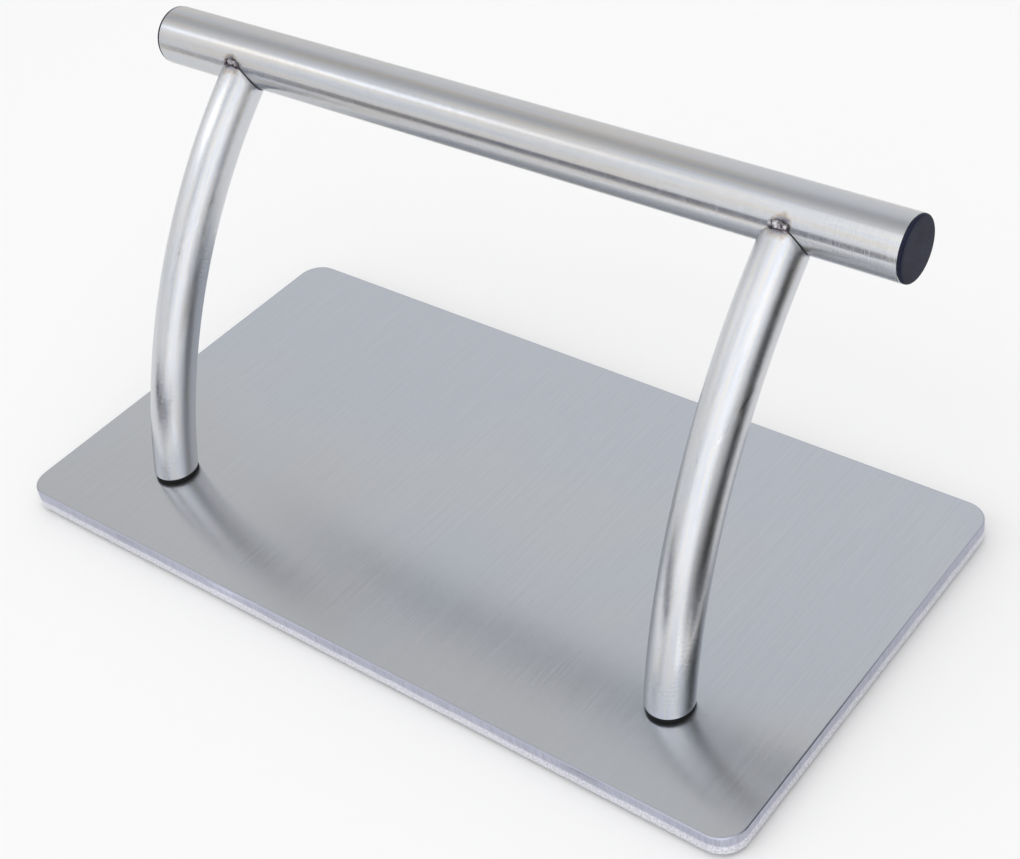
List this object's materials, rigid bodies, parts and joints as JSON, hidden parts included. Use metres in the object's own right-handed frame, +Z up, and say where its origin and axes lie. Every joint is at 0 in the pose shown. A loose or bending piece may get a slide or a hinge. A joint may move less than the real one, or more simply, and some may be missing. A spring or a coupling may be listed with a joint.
{
  "type": "salon floor footrest",
  "caption": "Free-standing floor footrest: heavy rounded rectangular steel plate, bent tube legs leaning back, and a straight horizontal tube foot bar with dark end plugs.",
  "frame": {"origin": "on the floor, under the middle of the plate (bottom centre of the bounding box)", "axes": "+X along the foot bar, from the left leg to the right leg; +Y from the legs' feet towards the bar, front to back; +Z up"},
  "size_m": [0.42, 0.22, 0.203],
  "materials": {
    "plate_steel": "fine satin grain on the faces, cut edge left brighter",
    "leg_steel": "bright polish along the tube",
    "bar_steel": "fine satin grain round the tube",
    "weld_steel": "rough tack weld with heat tint",
    "screw_steel": "plain turned stainless",
    "rubber_black": "matt moulded rubber",
    "plug_plastic": "moulded slate-coloured polyethylene, faint grain"
  },
  "bodies": {
    "root": {"base_plate": "plate_steel", "foot_pad_front_left": "rubber_black", "foot_pad_front_right": "rubber_black", "foot_pad_back_left": "rubber_black", "foot_pad_back_right": "rubber_black", "leg_left": "leg_steel", "leg_right": "leg_steel", "leg_insert_left": "screw_steel", "leg_insert_right": "screw_steel", "leg_gasket_left": "rubber_black", "leg_gasket_right": "rubber_black", "fixing_screw_left": "screw_steel", "fixing_screw_right": "screw_steel", "foot_bar": "bar_steel", "bar_end_plug_left": "plug_plastic", "bar_end_plug_right": "plug_plastic", "tack_weld_front_left": "weld_steel", "tack_weld_front_right": "weld_steel", "tack_weld_rear_left": "weld_steel", "tack_weld_rear_right": "weld_steel"}
  },
  "joints": []
}
